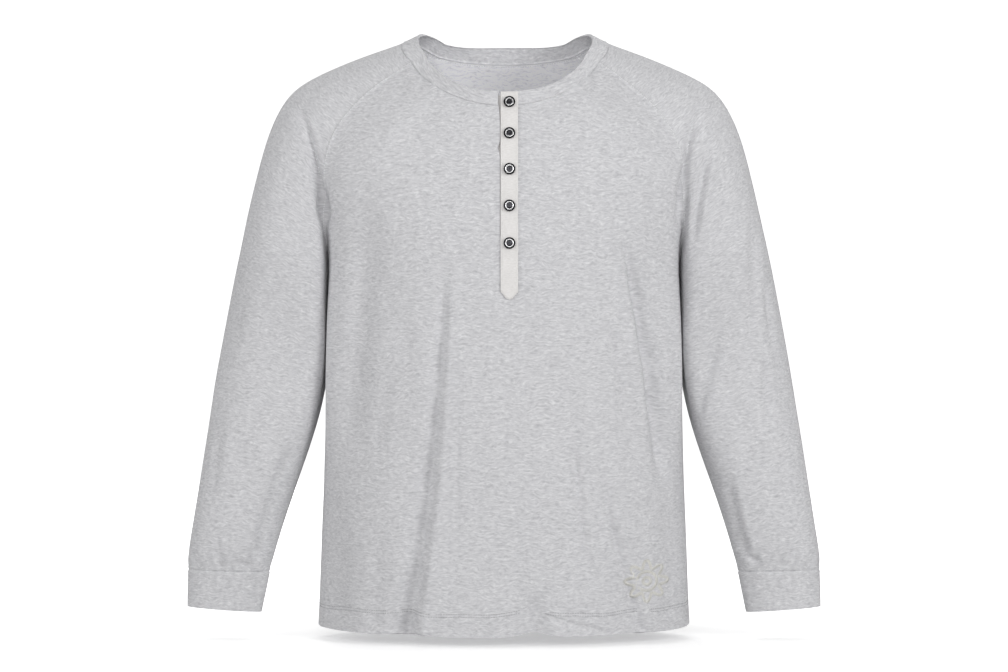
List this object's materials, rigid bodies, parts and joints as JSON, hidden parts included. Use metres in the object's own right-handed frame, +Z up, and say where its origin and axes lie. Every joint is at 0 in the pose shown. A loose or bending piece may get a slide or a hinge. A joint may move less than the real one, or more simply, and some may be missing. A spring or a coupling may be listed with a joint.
{
  "type": "henley shirt, filled out as worn",
  "caption": "Long-sleeved raglan henley shirt in heather jersey, filled out as worn, with a contrast buttoned placket, a plain neckband and turned cuffs.",
  "frame": {"origin": "at the base of the neckband, midway between the shoulders, where the wearer's shoulders carry the shirt", "axes": "+Z up, the front faces -Y, +X is to the right of someone who looks at the front"},
  "size_m": [0.781, 0.252, 0.7322],
  "materials": {
    "heather_jersey": "matte, light grey heather with fine streaks across the cloth",
    "ivory_twill": "matte, fine woven tape",
    "gunmetal": "dark rim, satin bright ring and dark dished cap"
  },
  "bodies": {
    "root": {"front": "heather_jersey", "back": "heather_jersey", "sleeve_left": "heather_jersey", "sleeve_right": "heather_jersey", "cuff_left": "heather_jersey", "cuff_right": "heather_jersey", "neckband": "heather_jersey", "placket_upper": "ivory_twill", "placket_under": "ivory_twill", "button_1": "gunmetal", "button_2": "gunmetal", "button_3": "gunmetal", "button_4": "gunmetal", "button_5": "gunmetal"}
  },
  "joints": []
}
